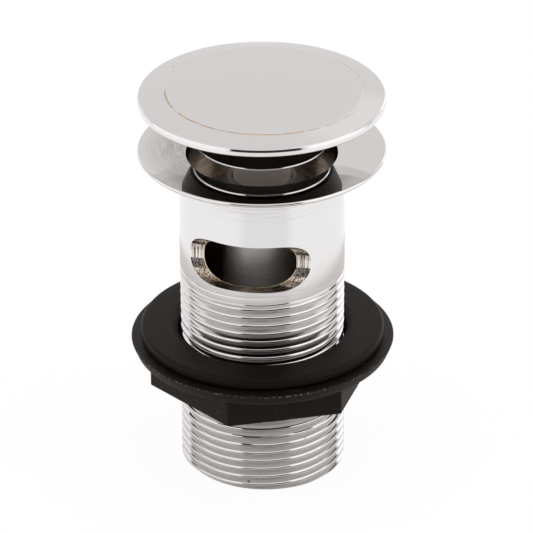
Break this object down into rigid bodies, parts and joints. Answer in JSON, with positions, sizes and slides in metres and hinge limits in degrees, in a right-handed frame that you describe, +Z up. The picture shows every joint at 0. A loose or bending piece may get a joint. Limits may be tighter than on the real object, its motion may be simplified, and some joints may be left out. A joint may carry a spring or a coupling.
{
  "type": "pop up basin waste",
  "caption": "Slotted pop-up basin waste: domed cap on a spring-loaded push plunger, rubber cone seal, flanged threaded body with overflow slots, rubber washer and hexagon back nut with flange.",
  "frame": {"origin": "centre of the threaded tail's bottom end, on the waste's own axis, in the plane it stands on", "axes": "+Z up along the waste's axis from the tail towards the cap, -Y towards the viewer of the picture; the front overflow slot faces 12 degrees to the left of -Y"},
  "size_m": [0.0676, 0.0676, 0.1046],
  "materials": {
    "chrome": "polished plating over turned metal, with faint brushing",
    "satin_steel": "satin turned",
    "spring_steel": "drawn wire and ground pins",
    "brass": "turned, unplated",
    "black_rubber": "matt moulded",
    "black_plastic": "semi-matt moulded, lightly scuffed",
    "grey_plastic": "semi-matt moulded",
    "white_acetal": "smooth moulded",
    "fibre": "matt pressed fibre"
  },
  "bodies": {
    "waste": {"waste_body": "chrome", "cartridge_housing": "satin_steel", "guide_bush": "grey_plastic", "wiper_ring": "black_rubber", "ring_circlip": "spring_steel", "upper_thrust_washer": "white_acetal", "lower_thrust_washer": "white_acetal", "cartridge_base": "brass", "lock_washer": "fibre", "lock_nut": "brass"},
    "index": {"index_ring": "white_acetal", "index_pin_1": "spring_steel", "index_pin_2": "spring_steel"},
    "plug": {"plunger": "satin_steel", "return_spring": "spring_steel", "cap_stud": "brass", "retaining_disc": "chrome", "plug_seal": "black_rubber", "seal_carrier": "grey_plastic", "cap_gasket": "black_rubber", "cap": "chrome"},
    "washer": {"tail_washer": "black_rubber"},
    "nut": {"back_nut": "black_plastic"}
  },
  "joints": [
    {"name": "plug_slide", "type": "slide", "parent": "waste", "child": "plug", "axis": [0, 0, 1], "range_m": [-0.008, 0], "stiffness_N_per_m": 600, "springref_m": 0.01, "deforming": ["return_spring"]},
    {"name": "index_turn", "type": "hinge", "parent": "waste", "child": "index", "pos_m": [0, 0, 0.0663], "axis": [0, 0, 1], "range_deg": [0, 45]},
    {"name": "washer_travel", "type": "slide", "parent": "waste", "child": "washer", "axis": [0, 0, 1], "range_m": [-0.022, 0.018]},
    {"name": "nut_turn", "type": "hinge", "parent": "washer", "child": "nut", "pos_m": [0, 0, 0.0289], "axis": [0, 0, 1], "range_deg": [-3432, 2808]}
  ],
  "couplings": [
    {"joint": "index_turn", "follows": "plug_slide", "rad_per_m": -98.175},
    {"joint": "nut_turn", "follows": "washer_travel", "rad_per_m": 2721.2}
  ]
}
